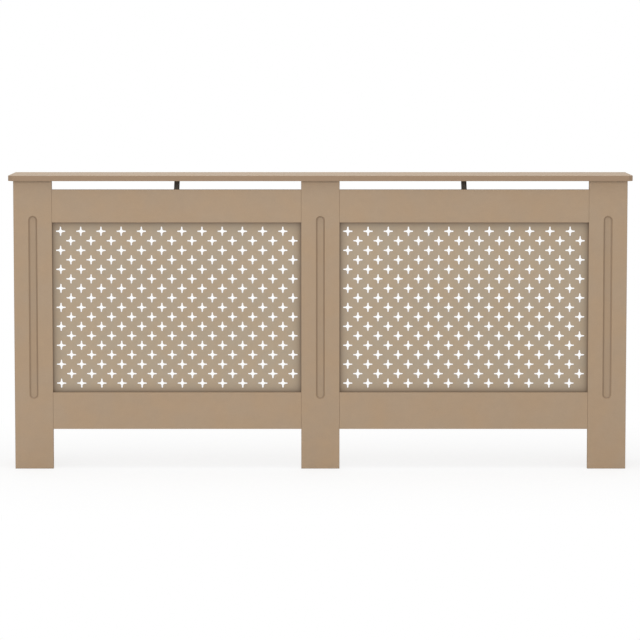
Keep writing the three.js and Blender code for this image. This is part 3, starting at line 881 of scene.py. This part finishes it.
def wall_bracket(side, outwards):
    """A steel angle: one leg in the plane of the wall with two holes, one on the side panel."""
    node = f"{side}_wall_bracket"
    low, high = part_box(node)
    leg, height = high.x - low.x, high.z - low.z
    turn = math.pi / 2
    flat_leg = leg - PLATE / 2 - BRACKET_BEND
    length = 2 * flat_leg + BRACKET_BEND * turn
    holes = [((leg - PLATE) / 2, z) for z in (BRACKET_HOLE_INSET, height - BRACKET_HOLE_INSET)]
    corners = [(0, 0), (length, 0), (length, height), (0, height)]
    bm = blank(corners, BRACKET_CORNER, holes)
    folded(bm, [(flat_leg, -turn, BRACKET_BEND)], RIGHT, "Z")
    inner_end = low.x if outwards > 0 else high.x
    place = Matrix.Translation((inner_end, high.y - PLATE / 2, low.z))
    if outwards < 0:
        place = place @ Matrix.Scale(-1, 4, RIGHT)
    fitting(bm, f"{node}_angle", place, zinc_finish, node)
    for number in (1, 2):
        screw(f"{node}_screw_{number}", -RIGHT * outwards, zinc_finish)


for side, outwards in SIDES:
    for name in CAMS:
        cam(side, name, outwards)
    brace(side)
    wall_bracket(side, outwards)

# The dowels and the cam bolts keep the model's own shapes.
beech_finish = beech()
for name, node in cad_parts.items():
    if name.endswith("_bolt") or "_dowel_" in name:
        node.data.materials.clear()
        node.data.materials.append(zinc_finish if name.endswith("_bolt") else beech_finish)

# ------------------------------------------------------------------ floor, light and camera


def floor_finish():
    """A pale floor that keeps the shadow round the feet and runs out to white for the camera."""
    finish = Finish("pale_floor")
    grain = finish.noise(30, 3, 0.6)
    pale = finish.node("BsdfPrincipled", None, {
        "Base Color": finish.blend(grain, (0.86, 0.86, 0.86), (0.89, 0.89, 0.89)),
        "Roughness": varied(0.7, (grain, 0.1)),
    })
    white = finish.node("Emission", None, {"Color": WHITE, "Strength": 1.0})
    x, y, _ = finish.parts(finish.place)
    away = (abs(x).above(SHADOW_HALF_LENGTH, 1.0) ** 2 + y ** 2) ** 0.5
    fade = away.above(SHADOW_REACH, SHADOW_FADE)
    whiteness = FLOOR_WHITENESS + fade * (1 - FLOOR_WHITENESS)
    seen = Value(finish, finish.node("LightPath").outputs["Is Camera Ray"])
    shaders = {0: seen * whiteness, 1: pale.outputs[0], 2: white.outputs[0]}
    shader = finish.node("MixShader", None, shaders)
    finish.node("OutputMaterial", None, {"Surface": shader.outputs[0]})
    return finish.material


def make_floor():
    """A plain square floor under the feet, which isn't part of the object."""
    bm = bmesh.new()
    bmesh.ops.create_grid(bm, x_segments=1, y_segments=1, size=FLOOR_HALF_WIDTH)
    mesh = bpy.data.meshes.new("floor")
    bm.to_mesh(mesh)
    bm.free()
    mesh.materials.append(floor_finish())
    linked("floor", mesh)


def make_world():
    """White to the camera and in reflections, and a soft even light on everything else."""
    world = bpy.data.worlds.new("studio")
    bpy.context.scene.world = world
    nodes = Nodes(world)
    ray = nodes.node("LightPath").outputs
    clear = nodes.maths("MAXIMUM", ray["Is Camera Ray"], ray["Is Glossy Ray"])
    clear = nodes.maths("MAXIMUM", clear, ray["Is Transmission Ray"])
    level = ROOM_LEVEL + clear * (1 - ROOM_LEVEL)
    background = nodes.node("Background", None, {"Color": WHITE, "Strength": level})
    nodes.node("OutputWorld", None, {"Surface": background.outputs[0]})


def soft_box(name, place, target, width, height, watts):
    """A wide lamp aimed at a point of the object."""
    light = bpy.data.lights.new(name, "AREA")
    light.shape = "RECTANGLE"
    light.size, light.size_y, light.energy = width, height, watts
    made = linked(name, light)
    made.location = place
    made.rotation_euler = (Vector(target) - Vector(place)).to_track_quat("-Z", "Y").to_euler()


def make_camera():
    """Straight on and a little above the shelf, tilted down to hold the whole front."""
    camera = bpy.data.cameras.new("camera")
    camera.sensor_width, camera.lens = CAMERA_SENSOR, CAMERA_LENS
    camera.shift_x, camera.shift_y = CAMERA_SHIFT
    camera.clip_end = CAMERA_FAR
    made = linked("camera", camera)
    made.location = CAMERA_PLACE
    made.rotation_euler = (math.pi / 2 - CAMERA_TILT, 0, 0)
    bpy.context.scene.camera = made


make_floor()
make_world()
soft_box("overhead_soft_box", (-0.4, -0.45, 4.1), (0, 0, 0.5), 4.0, 2.2, OVERHEAD_WATTS)
soft_box("front_soft_box", (-0.7, -4.7, 1.7), (0, 0, 0.4), 3.4, 2.2, FRONT_WATTS)
make_camera()
bpy.context.scene.view_settings.view_transform = "Standard"
